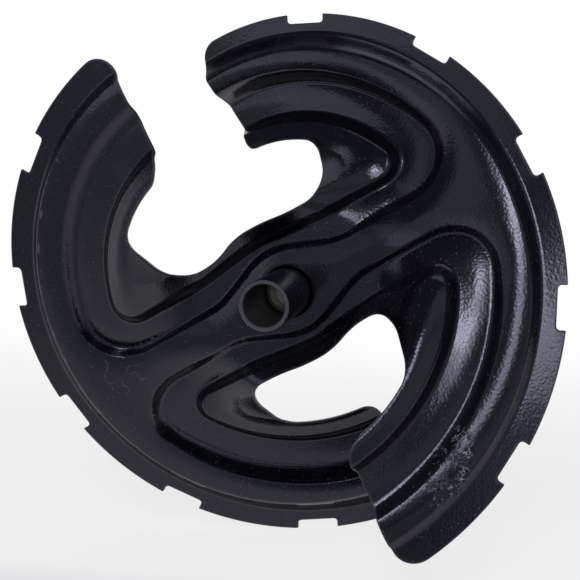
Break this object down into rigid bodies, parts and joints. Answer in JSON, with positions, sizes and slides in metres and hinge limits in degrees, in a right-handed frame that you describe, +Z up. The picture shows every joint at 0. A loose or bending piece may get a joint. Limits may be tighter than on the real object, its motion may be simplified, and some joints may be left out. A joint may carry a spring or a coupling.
{
  "type": "snow blower auger",
  "caption": "Pressed and twisted sheet-steel spiral flight with notched rim and open windows, welded on a hub tube with an axle sleeve, for gathering snow in a two-stage snow thrower",
  "frame": {"origin": "on the axle axis, half way along the hub tube, in the middle of the spiral", "axes": "+Y along the hub from the end in the picture to the far end, +Z up and +X right as the picture sees it"},
  "size_m": [0.304, 0.1598, 0.3044],
  "materials": {
    "flight_paint": "gloss black powder coat with light handling wear",
    "hub_paint": "gloss black powder coat, thin over the tube's end",
    "weld_paint": "black powder coat over a rippled weld bead",
    "bare_steel": "bare machined steel, dull"
  },
  "bodies": {
    "root": {"spiral_flight": "flight_paint", "hub_tube": "hub_paint", "collar_weld": "weld_paint", "axle_sleeve": "bare_steel"}
  },
  "joints": []
}
